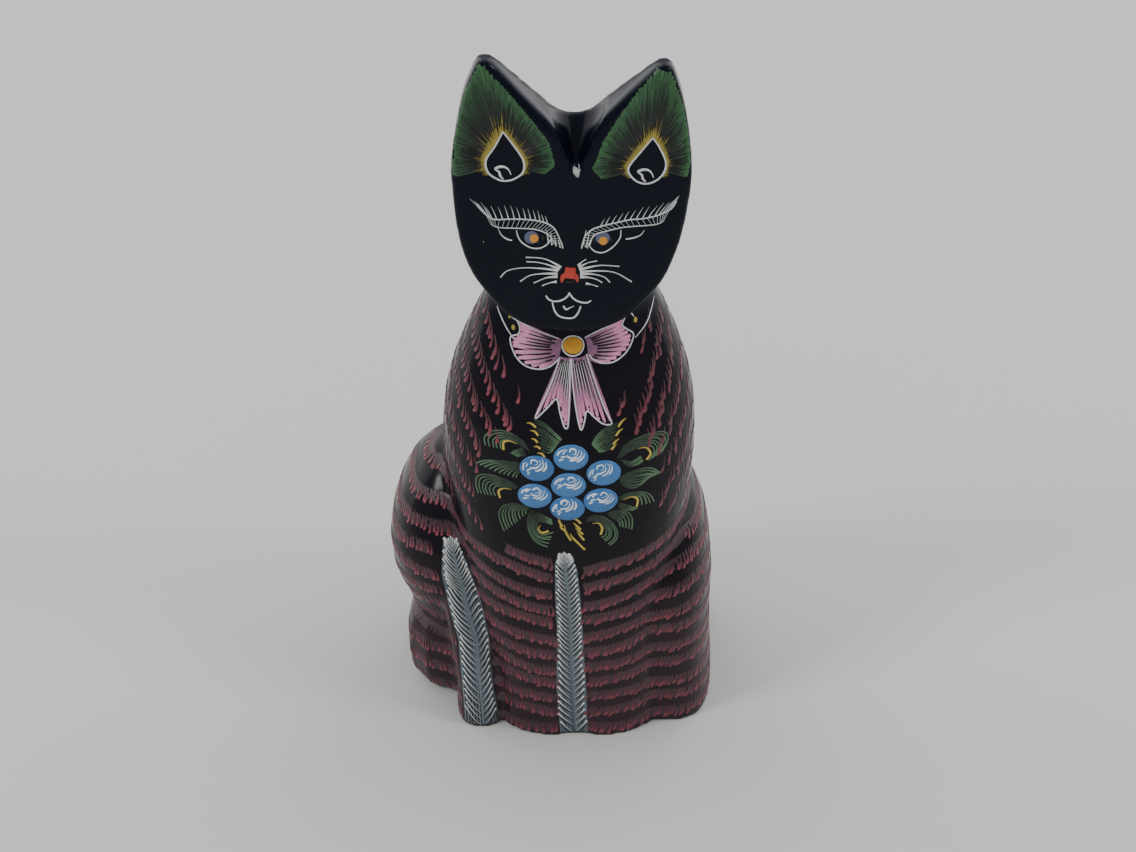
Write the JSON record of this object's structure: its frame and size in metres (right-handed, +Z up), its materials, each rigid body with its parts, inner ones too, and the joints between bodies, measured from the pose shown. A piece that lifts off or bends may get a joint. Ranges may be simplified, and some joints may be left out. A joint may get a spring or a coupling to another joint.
{
  "type": "cat figurine",
  "caption": "Seated cat figurine carved from solid wood, with tall pointed ears, a flat face and the tail laid round its right haunch, lacquered as a ground for painting",
  "frame": {"origin": "on the flat underside, at the centre of the bounding box in X and Y", "axes": "+Z up, the cat looks along -Y, and +X is on the cat's left"},
  "size_m": [0.0934, 0.078, 0.2005],
  "materials": {
    "lacquered_wood": "gloss lacquer"
  },
  "bodies": {
    "root": {"carved_cat": "lacquered_wood"}
  },
  "joints": []
}
